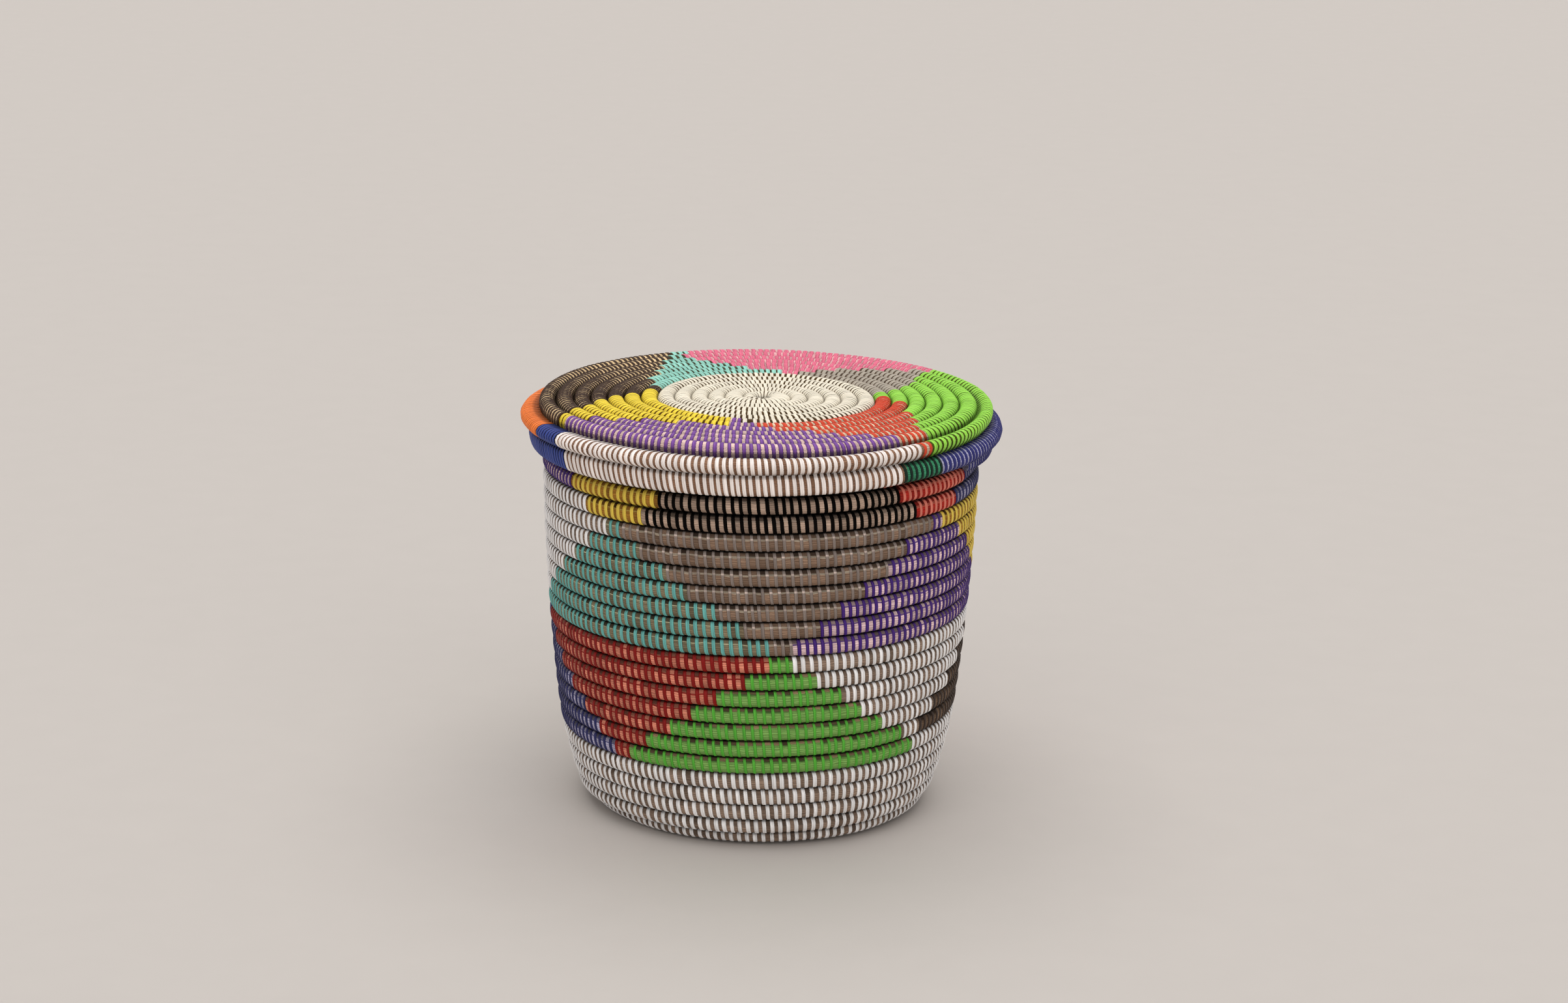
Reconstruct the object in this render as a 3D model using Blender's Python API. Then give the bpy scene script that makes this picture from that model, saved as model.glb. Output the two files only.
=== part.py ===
"""Coiled basket with a loose lid, modelled as the lengths of its two coils.

The basket is one long coil of sewn grass. It winds round a flat base, bends up at the foot
and climbs the wall anticlockwise, seen from above. The lid is a second coil, which winds
clockwise over a flat top and then down a short skirt that hangs outside the rim.
Units are metres, +Z is up, and the origin is on the floor under the middle of the basket.
"""

import math

import bmesh
import bpy
from mathutils import Vector, kdtree

# The basket's coil
COIL_PITCH = 0.0110
TURN_GAP = 0.0006
BUTT_GAP = 0.0003
FLOOR_GAP = 0.0001

# The wall's centre line
WALL_RADIUS = 0.1314
RIM_HEIGHT = 0.2466
WALL_LEAN = 0.0200
FOOT_TUCK = 0.0090
FOOT_HEIGHT = 0.0700
FOOT_BEND_RADIUS = 0.0130
FOOT_BEND_ANGLE = math.radians(65)
FIRST_TURN_ALONG_BEND = 0.0010
NECK_TURNS = 2.19
NECK_RISE = 0.0120
NECK_IN = 0.0050

# Turns of coil in each zone of the wall, from the base up
FOOT_TURNS = 5
LOWER_TURNS = 7
UPPER_TURNS = 7
RIM_TURNS = 3.65
RIM_TAPER_TURNS = 0.15
COIL_END_SHARE = 0.40

# The lid's coil
LID_PITCH_SHARE = 0.9545
LID_PATTERN_TURNS = 6.9
LID_PATTERN_IN_TURNS = 6.03
LID_START_RADIUS = 0.00615
LID_SEAT_GAP = 0.0003

# The lid's last turns: the turn, then in shares of the lid's pitch how far the coil has moved
# out and how far it has dropped, and its thickness as a share of the flat top's
LID_EDGE_SHARES = (
    (5.00, 5.00, 0.00, 1.00),
    (5.25, 5.27, 0.00, 1.05),
    (5.75, 5.79, 0.01, 1.05),
    (6.00, 6.07, 0.02, 1.03),
    (6.25, 6.31, 0.02, 1.04),
    (6.50, 6.54, 0.05, 1.04),
    (6.75, 6.79, 0.09, 1.02),
    (7.00, 7.20, 0.60, 1.12),
    (7.25, 7.31, 0.74, 1.11),
    (7.50, 7.34, 0.91, 1.09),
    (7.75, 7.27, 1.18, 1.02),
    (8.00, 6.70, 1.80, 1.02),
    (8.25, 6.81, 1.94, 1.00),
    (8.50, 6.92, 2.06, 0.95),
    (8.70, 6.92, 2.14, 0.80),
    (8.81, 6.90, 2.17, 0.40),
)

# Facets: points to a turn, sides to a section
TURN_POINTS = 20
SECTION_SIDES = 6
FINE_RADIUS = 0.0400
HALF_FACET_TURN = 1 / TURN_POINTS / 2

# Colours in linear light, with the roughness of sewn plastic strip over grass
GRASS = (0.26, 0.18, 0.11)
WHITE = (0.70, 0.67, 0.62)
GREEN = (0.13, 0.40, 0.08)
TEAL = (0.11, 0.34, 0.30)
CHARCOAL = (0.05, 0.04, 0.035)
YELLOW = (0.76, 0.52, 0.05)
CREAM = (0.80, 0.76, 0.68)
STRIP_ROUGHNESS = 0.45
GRASS_ROUGHNESS = 0.85

FLAT_TO_CORNER = 1 / math.cos(math.pi / SECTION_SIDES)
NECK_HEIGHT = RIM_HEIGHT - NECK_TURNS * COIL_PITCH
LID_PITCH = COIL_PITCH * LID_PITCH_SHARE
COIL_FLAT = (COIL_PITCH - TURN_GAP) / 2
COIL_CORNER = COIL_FLAT * FLAT_TO_CORNER
LID_FLAT = (LID_PITCH - TURN_GAP) / 2
LID_CORNER = LID_FLAT * FLAT_TO_CORNER
BASE_HEIGHT = COIL_CORNER + FLOOR_GAP
WALL_TURNS = FOOT_TURNS + LOWER_TURNS + UPPER_TURNS + RIM_TURNS
PROFILE_STEP = COIL_PITCH / 20
PATTERN_RADIUS = WALL_RADIUS - LID_PATTERN_IN_TURNS * LID_PITCH
LID_CENTRE_TURNS = (PATTERN_RADIUS - LID_START_RADIUS) / LID_PITCH


def smoothstep(share):
    """Ease from 0 to 1 with flat ends."""
    share = min(max(share, 0.0), 1.0)
    return share * share * (3 - 2 * share)


def wall_radius(height):
    """Radius of the wall's centre line at a height."""
    lean = WALL_LEAN * (1 - height / RIM_HEIGHT) ** 2
    tuck = FOOT_TUCK * max(0.0, 1 - height / FOOT_HEIGHT) ** 2
    neck = NECK_IN * smoothstep((height - NECK_HEIGHT) / NECK_RISE)
    return WALL_RADIUS - lean - tuck - neck


def bend_point(along):
    """Radius and height at a distance round the bend from the flat base to the wall."""
    top = BASE_HEIGHT + FOOT_BEND_RADIUS * (1 - math.cos(FOOT_BEND_ANGLE))
    start = wall_radius(top) - FOOT_BEND_RADIUS * math.sin(FOOT_BEND_ANGLE)
    angle = along / FOOT_BEND_RADIUS
    radius = start + FOOT_BEND_RADIUS * math.sin(angle)
    return radius, BASE_HEIGHT + FOOT_BEND_RADIUS * (1 - math.cos(angle))


def wall_profile():
    """Walk up the bend and the wall in equal steps, and list radius and height."""
    bend_length = FOOT_BEND_RADIUS * FOOT_BEND_ANGLE
    steps = int(bend_length / PROFILE_STEP)
    places = [bend_point(step * PROFILE_STEP) for step in range(steps + 1)]
    rows_left = int(WALL_TURNS * COIL_PITCH / PROFILE_STEP) + 2 * TURN_POINTS - steps
    for _ in range(rows_left):
        radius, height = places[-1]
        slope = (wall_radius(height + PROFILE_STEP) - radius) / PROFILE_STEP
        rise = PROFILE_STEP / math.sqrt(1 + slope * slope)
        places.append((wall_radius(height + rise), height + rise))
    return places


PROFILE = wall_profile()


def profile_at(along):
    """Radius and height at a distance from the start of the bend, also before it."""
    if along <= 0:
        radius, height = PROFILE[0]
        return radius + along, height
    step, share = divmod(along / PROFILE_STEP, 1)
    low, high = PROFILE[int(step)], PROFILE[int(step) + 1]
    return tuple(a + (b - a) * share for a, b in zip(low, high))


def wall_place(turn):
    """Centre, section corner radius and uphill heading of the wall's coil after some turns."""
    along = FIRST_TURN_ALONG_BEND + turn * COIL_PITCH
    radius, height = profile_at(along)
    below, above = profile_at(along - COIL_PITCH / 2), profile_at(along + COIL_PITCH / 2)
    heading = math.atan2(above[1] - below[1], above[0] - below[0])
    angle = math.pi / 2 + math.tau * (turn + HALF_FACET_TURN)
    taper = smoothstep((WALL_TURNS - turn) / RIM_TAPER_TURNS)
    corner = COIL_CORNER * (COIL_END_SHARE + (1 - COIL_END_SHARE) * taper)
    return Vector((radius * math.cos(angle), radius * math.sin(angle), height)), corner, heading


def lid_edge(turn):
    """Out, drop and thickness shares of the lid's last turns, on a smooth curve."""
    rows = LID_EDGE_SHARES
    last = len(rows) - 2
    index = next((i for i in range(last) if turn < rows[i + 1][0]), last)
    before, low = rows[max(index - 1, 0)], rows[index]
    high, after = rows[index + 1], rows[min(index + 2, last + 1)]
    span = high[0] - low[0]
    share = min((turn - low[0]) / span, 1.0)
    values = []
    for column in (1, 2, 3):
        leave = (high[column] - before[column]) / (high[0] - before[0]) * span
        arrive = (after[column] - low[column]) / (after[0] - low[0]) * span
        rise = high[column] - low[column]
        curve = (leave - rise) * (1 - share) - (arrive - rise) * share
        values.append(low[column] + rise * share + share * (1 - share) * curve)
    return values


def lid_profile(turn):
    """Radius and height of the lid's centre line, and its thickness share."""
    if turn < LID_EDGE_SHARES[0][0]:
        return PATTERN_RADIUS + turn * LID_PITCH, LID_CORNER, 1.0
    out, drop, thickness = lid_edge(turn)
    return PATTERN_RADIUS + out * LID_PITCH, LID_CORNER - drop * LID_PITCH, thickness


def lid_place(turn):
    """Centre, section corner radius and outward heading of the lid's coil after some turns."""
    radius, height, thickness = lid_profile(turn)
    inner, outer = lid_profile(turn - 1 / 2), lid_profile(turn + 1 / 2)
    heading = math.atan2(outer[1] - inner[1], outer[0] - inner[0])
    angle = -math.pi / 2 - math.tau * (turn + HALF_FACET_TURN)
    centre = Vector((radius * math.cos(angle), radius * math.sin(angle), height))
    return centre, LID_CORNER * thickness, heading


def section_turns(place, start, end):
    """Turns at which a length of coil has a section, with fewer where it winds tightly."""
    turns = []
    for index in range(round(start * TURN_POINTS), round(end * TURN_POINTS)):
        turn = index / TURN_POINTS + HALF_FACET_TURN
        if index % 2 == 0 or place(turn)[0].xy.length > FINE_RADIUS:
            turns.append(turn)
    return turns


def butt_end(place, turn, inwards):
    """Centre half way along a straight run, half a butt gap to one side of the joint.

    inwards is 1 for the side where the turns go on, and -1 for the side that they come from.
    """
    half = inwards * HALF_FACET_TURN
    inner, outer = place(turn + half)[0], place(turn - half)[0]
    middle = (inner + outer) / 2
    return middle + (inner - middle).normalized() * BUTT_GAP / 2


def make_material(name, colour, roughness):
    """Principled material of one colour."""
    material = bpy.data.materials.new(name)
    material.use_nodes = True
    shader = material.node_tree.nodes["Principled BSDF"]
    shader.inputs["Base Color"].default_value = (*colour, 1)
    shader.inputs["Roughness"].default_value = roughness
    shader.inputs["Metallic"].default_value = 0
    return material


def link(obj, frame, material):
    """Put an object in the scene under its frame."""
    bpy.context.collection.objects.link(obj)
    obj.parent = frame
    obj.data.materials.append(material)
    return obj


def make_coil(name, place, start, end, hand, frame, material):
    """One unbroken length of coil; hand is 1 where it winds clockwise and -1 otherwise.

    Two flats of each section face the turns before and after it.
    """
    turns = section_turns(place, start, end)
    centres = [place(turn)[0] for turn in turns]
    centres = [butt_end(place, start, 1)] + centres + [butt_end(place, end, -1)]
    turns = [start] + turns + [end]
    curve = bpy.data.curves.new(name, "CURVE")
    curve.dimensions = "3D"
    curve.twist_mode = "Z_UP"
    curve.bevel_depth = 1
    curve.bevel_resolution = SECTION_SIDES // 2 - 2
    curve.use_fill_caps = True
    spline = curve.splines.new("POLY")
    spline.points.add(len(turns) - 1)
    for point, turn, centre in zip(spline.points, turns, centres):
        _, corner, heading = place(turn)
        point.co = (*centre, 1)
        point.radius = corner
        point.tilt = hand * (heading - math.pi / 2)
    coil = link(bpy.data.objects.new(name, curve), frame, material)
    coil["turns"] = turns
    return coil


def make_base(frame, material):
    """Flat base, whose edge follows the inside of the wall's first turn."""
    reach = COIL_CORNER + BUTT_GAP
    mesh = bpy.data.meshes.new("base_disc")
    shape = bmesh.new()
    centres = [wall_place(turn)[0] for turn in section_turns(wall_place, 0, 1)]
    centres = [butt_end(wall_place, 0, -1)] + centres + [butt_end(wall_place, 1, -1)]
    corners = [centre.xy.normalized() * (centre.xy.length - reach) for centre in centres]
    rim = [shape.verts.new((*corner, 0)) for corner in corners]
    floor = shape.faces.new(rim)
    raised = bmesh.ops.extrude_face_region(shape, geom=[floor], use_keep_orig=True)
    top = [item for item in raised["geom"] if isinstance(item, bmesh.types.BMVert)]
    bmesh.ops.translate(shape, verts=top, vec=(0, 0, COIL_PITCH))
    bmesh.ops.recalc_face_normals(shape, faces=shape.faces)
    shape.to_mesh(mesh)
    shape.free()
    return link(bpy.data.objects.new("base_disc", mesh), frame, material)


def coil_points(coils):
    """Every section corner of some lengths of coil, with the turn that it lies on.

    A bevelled curve lists the corners of its two end caps first.
    """
    scene = bpy.context.evaluated_depsgraph_get()
    places = []
    for coil in coils:
        mesh = coil.evaluated_get(scene).to_mesh()
        for section, turn in enumerate(coil["turns"]):
            for corner in range(SECTION_SIDES):
                vertex = mesh.vertices[(2 + section) * SECTION_SIDES + corner]
                places.append((coil.matrix_world @ vertex.co, turn))
    return places


def least_gap(coils):
    """Least distance between corners of a coil's sections that lie on different turns."""
    places = coil_points(coils)
    tree = kdtree.KDTree(len(places))
    for index, (corner, _) in enumerate(places):
        tree.insert(corner, index)
    tree.balance()
    least = COIL_PITCH
    for corner, turn in places:
        for _, other, distance in tree.find_range(corner, least):
            if abs(places[other][1] - turn) > 1 / 2:
                least = min(least, distance)
    return least


def rim_top():
    """Height of the wall's highest turn, just before its end tapers off."""
    turn = WALL_TURNS - RIM_TAPER_TURNS
    return wall_place(turn)[0].z + COIL_FLAT


def make_frame(name, height):
    """Empty that carries one body's pieces."""
    frame = bpy.data.objects.new(name, None)
    frame.location.z = height
    bpy.context.collection.objects.link(frame)
    return frame


def make_basket(frame):
    """Base and the four lengths of the wall's coil, from the foot to the rim."""
    make_base(frame, make_material("sewn grass", GRASS, GRASS_ROUGHNESS))
    zones = (
        ("foot_coil", FOOT_TURNS, WHITE),
        ("lower_pattern_coil", LOWER_TURNS, GREEN),
        ("upper_pattern_coil", UPPER_TURNS, TEAL),
        ("rim_coil", RIM_TURNS, CHARCOAL),
    )
    coils, start = [], 0
    for name, turns, colour in zones:
        material = make_material(name.replace("_", " "), colour, STRIP_ROUGHNESS)
        coils.append(make_coil(name, wall_place, start, start + turns, -1, frame, material))
        start += turns
    return coils


def make_lid(frame):
    """Plain centre, patterned top and hanging skirt of the lid's coil."""
    last = LID_EDGE_SHARES[-1][0]
    zones = (
        ("lid_centre_coil", -LID_CENTRE_TURNS, 0, CREAM),
        ("lid_pattern_coil", 0, LID_PATTERN_TURNS, YELLOW),
        ("lid_skirt_coil", LID_PATTERN_TURNS, last, WHITE),
    )
    coils = []
    for name, start, end, colour in zones:
        material = make_material(name.replace("_", " "), colour, STRIP_ROUGHNESS)
        coils.append(make_coil(name, lid_place, start, end, 1, frame, material))
    return coils


def main():
    """Build the basket and its lid in an empty scene, and print the coils' least gaps."""
    for obj in list(bpy.data.objects):
        bpy.data.objects.remove(obj)
    wall = make_basket(make_frame("basket", 0))
    lid = make_lid(make_frame("lid", rim_top() + LID_SEAT_GAP))
    bpy.context.view_layer.update()
    print(f"least gap between the wall's turns: {least_gap(wall) * 1000:.2f} mm")
    print(f"least gap between the lid's turns: {least_gap(lid) * 1000:.2f} mm")


main()
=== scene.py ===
"""Looks of the lidded coiled basket: bundles of grass, and the coloured strips sewn round them.

The basket and its lid are each one long coil, a bundle of grass with a stitch for each turn of
the sewing strip. A stitch comes up on the inside, goes over the bundle, slants down its outside
and is pulled in between this turn of the coil and the one before it.
Units are metres, +Z is up and the viewer of the photograph looks along +Y.
"""

from __future__ import annotations

import logging
import math
import random
from bisect import bisect_right
from dataclasses import dataclass, field
from enum import Enum
from typing import Callable

import bmesh
import bpy
import numpy as np
from bpy.types import ID, Material, Mesh, Node, NodeSocket, Object
from mathutils import Matrix, Vector

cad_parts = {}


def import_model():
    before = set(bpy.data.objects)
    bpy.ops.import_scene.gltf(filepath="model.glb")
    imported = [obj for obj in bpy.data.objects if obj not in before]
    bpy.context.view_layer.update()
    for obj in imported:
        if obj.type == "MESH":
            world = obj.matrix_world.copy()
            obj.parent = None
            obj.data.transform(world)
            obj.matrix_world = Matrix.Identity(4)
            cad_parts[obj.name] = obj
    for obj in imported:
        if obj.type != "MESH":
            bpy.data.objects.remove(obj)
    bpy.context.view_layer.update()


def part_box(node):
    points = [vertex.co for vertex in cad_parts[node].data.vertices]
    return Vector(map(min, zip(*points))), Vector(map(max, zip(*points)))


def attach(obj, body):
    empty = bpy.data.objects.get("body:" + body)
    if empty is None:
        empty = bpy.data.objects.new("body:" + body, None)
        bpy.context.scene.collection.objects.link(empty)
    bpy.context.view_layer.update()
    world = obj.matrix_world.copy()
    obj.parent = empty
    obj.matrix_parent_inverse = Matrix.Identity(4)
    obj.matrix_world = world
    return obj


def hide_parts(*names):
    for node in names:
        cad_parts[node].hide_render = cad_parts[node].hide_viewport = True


log = logging.getLogger("basket")

Array = np.ndarray
Colour = tuple[int, int, int]
Triple = tuple[float, float, float]
Row = tuple[float, float, float, float]

MM = 0.001
TURN = math.tau

# Turns from a coil's start angle to the middle of its solid's first facet
FACET_SHIFT = 1 / 40

# Turns from the axis to the start of a coil, and its thickness as it is wound up there
CENTRE_START = 0.12
CENTRE_TURNS = 1.1
CENTRE_SHARE = 0.35

# Where a strip's painted shade and painted glint change, from its outer end at 0 to its inner end
# at 1
OUTER_SEAM_SHADE = (0.09, 0.17)
SHOULDER = 0.44
GLINT = (0.005, 0.035)
UPPER_SIDE_SHADE = (0.42, 0.60)
TOP_SEAM_SHADE = (0.54, 0.62)

# Where its painted shade on the edges changes, from the strip's middle at 0 to its edge at 0.5
STRIP_EDGE_SHADE = (0.28, 0.5)

# Heights round the bundle, from 0 outwards to 1 at the seam, at which painted shade darkens the
# grass
GRASS_SEAM_SHADE = (0.78, 0.90)
GRASS_UPPER_SIDE_SHADE = (0.15, 0.55)


# Shader maths


@dataclass(frozen=True)
class Value:
    """A socket with a number that varies over a surface. Expressions on it add Math nodes."""

    nodes: Nodes
    link: NodeSocket

    def _with(self, operation: str, first: object, second: object = 0.0) -> Value:
        """Add a Math node for one or two numbers or values."""
        return self.nodes.make("ShaderNodeMath", {"operation": operation}, {0: first, 1: second})

    def __add__(self, other: object) -> Value:
        """Add."""
        return self._with("ADD", self, other)

    __radd__ = __add__

    def __sub__(self, other: object) -> Value:
        """Take away."""
        return self._with("SUBTRACT", self, other)

    def __rsub__(self, other: object) -> Value:
        """Take this value away from a number."""
        return self._with("SUBTRACT", other, self)

    def __mul__(self, other: object) -> Value:
        """Multiply."""
        return self._with("MULTIPLY", self, other)

    __rmul__ = __mul__

    def __gt__(self, other: object) -> Value:
        """1 where this value is above the other, else 0."""
        return self._with("GREATER_THAN", self, other)

    def __abs__(self) -> Value:
        """Leave the sign out."""
        return self._with("ABSOLUTE", self)

    def sine(self) -> Value:
        """Its sine."""
        return self._with("SINE", self)


class Nodes:
    """Makes the nodes of one material, or of the world."""

    def __init__(self, owner: ID) -> None:
        """Start with the nodes that a new material or world has.

        Args:
            owner: The material or world.
        """
        owner.use_nodes = True
        self.owner = owner
        self.tree = owner.node_tree

    def set(self, node: Node | str, sockets: dict) -> None:
        """Give a node's sockets their values or links.

        Args:
            node: The node, or its name.
            sockets: Numbers, or Values to link, by the socket's name or number.
        """
        node = self.tree.nodes[node] if isinstance(node, str) else node
        for key, value in sockets.items():
            socket = node.inputs[key]
            if isinstance(value, Value):
                self.tree.links.new(value.link, socket)
            else:
                socket.default_value = value

    def make(self, kind: str, settings: dict, sockets: dict, output: object = 0) -> Value:
        """Add a node.

        Args:
            kind: The node's type.
            settings: The node's own settings.
            sockets: As for set.
            output: Name or number of the socket to return.

        Returns:
            The output.
        """
        node = self.tree.nodes.new(kind)
        for key, value in settings.items():
            setattr(node, key, value)
        self.set(node, sockets)
        return Value(self, node.outputs[output])

    def unrolled(self, name: str) -> Value:
        """The place on a UV map."""
        return self.make("ShaderNodeUVMap", {"uv_map": name}, {})

    def layer(self, name: str, output: str) -> Value:
        """What a layer of the mesh holds."""
        return self.make("ShaderNodeAttribute", {"attribute_name": name}, {}, output=output)

    def split(self, vector: Value) -> tuple[Value, Value, Value]:
        """Take a vector apart."""
        first = self.make("ShaderNodeSeparateXYZ", {}, {0: vector})
        return tuple(Value(self, output) for output in first.link.node.outputs)

    def vector(self, x: object, y: object, z: object) -> Value:
        """Put three numbers together as a vector."""
        return self.make("ShaderNodeCombineXYZ", {}, {0: x, 1: y, 2: z})

    def noise(self, vector: Value, detail: float) -> Value:
        """Smooth noise from 0 to 1, one unit of the vector to a blotch."""
        sockets = {"Vector": vector, "Scale": 1.0, "Detail": detail, "Roughness": 0.55}
        return self.make("ShaderNodeTexNoise", {}, sockets)

    def ease(self, value: Value, start: float, end: float, low: float, high: float) -> Value:
        """Go smoothly from low to high as a value goes from start to end."""
        sockets = {"Value": value, 1: start, 2: end, 3: low, 4: high}
        return self.make("ShaderNodeMapRange", {"interpolation_type": "SMOOTHSTEP"}, sockets)

    def scaled(self, colour: object, amount: Value) -> Value:
        """A colour times a number."""
        return self.make("ShaderNodeVectorMath", {"operation": "SCALE"}, {0: colour, 3: amount})

    def bump(self, height: Value, distance: float, strength: float) -> Value:
        """Normals for a height map."""
        sockets = {"Height": height, "Distance": distance, "Strength": strength}
        return self.make("ShaderNodeBump", {}, sockets)


def linear(rgb: Colour) -> Triple:
    """Turn a colour's screen values, from 0 to 255, into linear light."""
    shares = (channel / 255 for channel in rgb)
    return tuple(s / 12.92 if s <= 0.04045 else ((s + 0.055) / 1.055) ** 2.4 for s in shares)


# Finishes


@dataclass(frozen=True)
class StripFinish:
    """A colour of sewing strip, and the grass that shows beside it.

    Attributes:
        rgb: The strip's colour, in screen values.
        grass: Colour of the bundle between the stitches.
        carried: Colour of a strand that is carried along under the stitches.
        carried_share: How much of the bundle that strand covers.
        cover: Width of a stitch as a share of its spacing.
        spacing: Spacing of the stitches as a share of the zone's.
        roughness: Roughness of the plastic.
        edge: Brightness of the painted shade on the strip's edges beside its middle.
        seam: Brightness of the painted shade where it and the grass beside it go down into the
            seams.
        above: Brightness of the painted shade on the side towards the next turn.
        gap_above: Least brightness of the painted shade there on the grass in a gap.
        crease: Brightness of the painted shade along the strip's fold, a painted highlight if above
            1.
        glint: Extra brightness where it bends over the bundle's shoulder.
        gloss: Strength of its reflections.
    """

    rgb: Colour
    grass: Colour
    carried: Colour = (104, 82, 62)
    carried_share: float = 0.0
    cover: float = 0.56
    spacing: float = 1.0
    roughness: float = 0.45
    edge: float = 0.5
    seam: float = 0.12
    above: float = 0.8
    gap_above: float = 0.2
    crease: float = 0.75
    glint: float = 0.0
    gloss: float = 0.18

    def material(self, name: str) -> Material:
        """Make plastic with lines along it, painted shade along its edges and its fold, on its side
        towards the next turn and in the seams, and a painted glint on its shoulder.

        Args:
            name: The material's name.

        Returns:
            The material.
        """
        nodes = Nodes(bpy.data.materials.new(name))
        along, across, _ = nodes.split(nodes.unrolled("strip"))
        tone = nodes.layer("tone", "Fac")
        streaks = nodes.noise(nodes.vector(along * 3.0, across * 12.0, tone * 90.0), 3.0)
        lines = nodes.noise(nodes.vector(along * 0.7, across * 30.0, tone * 50.0), 0.0)
        folds = (across * (4.0 * TURN) + tone * 9.0).sine()
        # Painted shade on the strip's rounded edges
        edges = nodes.ease(abs(across - 0.5), *STRIP_EDGE_SHADE, 1.0, self.edge)
        # The fold's place across the strip changes from stitch to stitch
        crease = abs(across - (0.36 + 0.28 * tone) + 0.05 * (streaks - 0.5))
        # Painted shade along the fold, which becomes a painted highlight where the finish's crease
        # is above 1
        fold_shade_and_highlight = nodes.ease(crease, 0.0, 0.1, self.crease, 1.0)
        # Painted shade where the strip goes down into the seams at both ends
        outer_seam_shade = nodes.ease(along, *OUTER_SEAM_SHADE, self.seam, 1.0)
        top_seam_shade = nodes.ease(along, *TOP_SEAM_SHADE, 1.0, self.seam)
        # Painted shade on the strip's side towards the next turn
        upper_side_shade = nodes.ease(along, *UPPER_SIDE_SHADE, 1.0, self.above)
        glint = nodes.ease(abs(along - SHOULDER), *GLINT, self.glint, 0.0) * tone
        shade = edges * fold_shade_and_highlight * outer_seam_shade * top_seam_shade * upper_side_shade * (glint + 1.0)
        grain = 0.9 + 0.2 * tone + 0.34 * (streaks - 0.5) + 0.3 * (lines - 0.5)
        sockets = {
            "Base Color": nodes.scaled(linear(self.rgb), grain * shade),
            "Roughness": self.roughness + 0.3 * (streaks - 0.5),
            "Specular IOR Level": self.gloss,
            "Normal": nodes.bump(streaks + 0.35 * folds + 0.5 * lines, 0.25 * MM, 0.6),
        }
        nodes.set("Principled BSDF", sockets)
        return nodes.owner


def lid_strip(rgb: Colour, grass: Colour, **others: object) -> StripFinish:
    """A finish for the lid, whose rows lie flatter, so that less shade gathers in its seams."""
    lid = {"seam": 0.45, "above": 0.85, "gap_above": 0.7, "edge": 0.38, "cover": 0.72}
    return StripFinish(rgb, grass, **{**lid, **others})


@dataclass(frozen=True)
class GrassFinish:
    """A bundle of dry grass stalks, with a strand of strip that is carried along it.

    Attributes:
        stalks: Number of stalks that show round the bundle.
        stalk_length: Length over which a stalk keeps its colour.
        roughness: Roughness of the grass.
        gloss: Strength of its reflections.
    """

    stalks: int = 38
    stalk_length: float = 0.009
    roughness: float = 0.8
    gloss: float = 0.12

    def material(self, name: str) -> Material:
        """Make stalks along the bundle, from the piece's UV map and colours, with painted shade in
        the seams and on the side towards the next turn.

        Args:
            name: The material's name.

        Returns:
            The material.
        """
        nodes = Nodes(bpy.data.materials.new(name))
        along, around, _ = nodes.split(nodes.unrolled("bundle"))
        grass = nodes.layer("grass", "Color")
        seam, least_upper_shade, _ = nodes.split(nodes.layer("shades", "Vector"))
        carried = nodes.layer("carried", "Color")
        share = nodes.layer("carried", "Alpha")
        length = along * (1 / self.stalk_length)
        wander = nodes.noise(nodes.vector(length * 0.6, around * 3.0, 5.0), 1.0)
        lane = around * float(self.stalks) + 2.4 * wander
        tones = nodes.noise(nodes.vector(length, lane * 0.9, 0.0), 3.0)
        ribs = (lane * TURN).sine()
        height = around - (around > 0.5) + 0.09 * (wander - 0.5)
        # The more of the bundle the strand covers, the lower it lies
        strand = abs(height - (0.07 - 0.16 * share)) - 0.2 * share
        carried_here = nodes.ease(strand, -0.014, 0.0, 1.0, 0.0)
        turned = (around * TURN).sine()
        # Painted shade on the grass in the seams between turns
        seams = nodes.ease(abs(turned), *GRASS_SEAM_SHADE, 1.0, seam)
        # Painted shade on the grass's side towards the next turn
        upper_side_shade = nodes.ease(turned, *GRASS_UPPER_SIDE_SHADE, 1.0, least_upper_shade)
        shade = (0.5 + 0.85 * tones + 0.14 * ribs) * seams * upper_side_shade
        colours = {0: carried_here, 6: grass, 7: carried}
        base = nodes.make("ShaderNodeMix", {"data_type": "RGBA"}, colours, output=2)
        sockets = {
            "Base Color": nodes.scaled(base, shade),
            "Roughness": self.roughness - 0.25 * carried_here,
            "Specular IOR Level": self.gloss,
            "Normal": nodes.bump(0.5 * ribs + tones, 0.4 * MM, 0.9),
        }
        nodes.set("Principled BSDF", sockets)
        return nodes.owner


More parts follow.
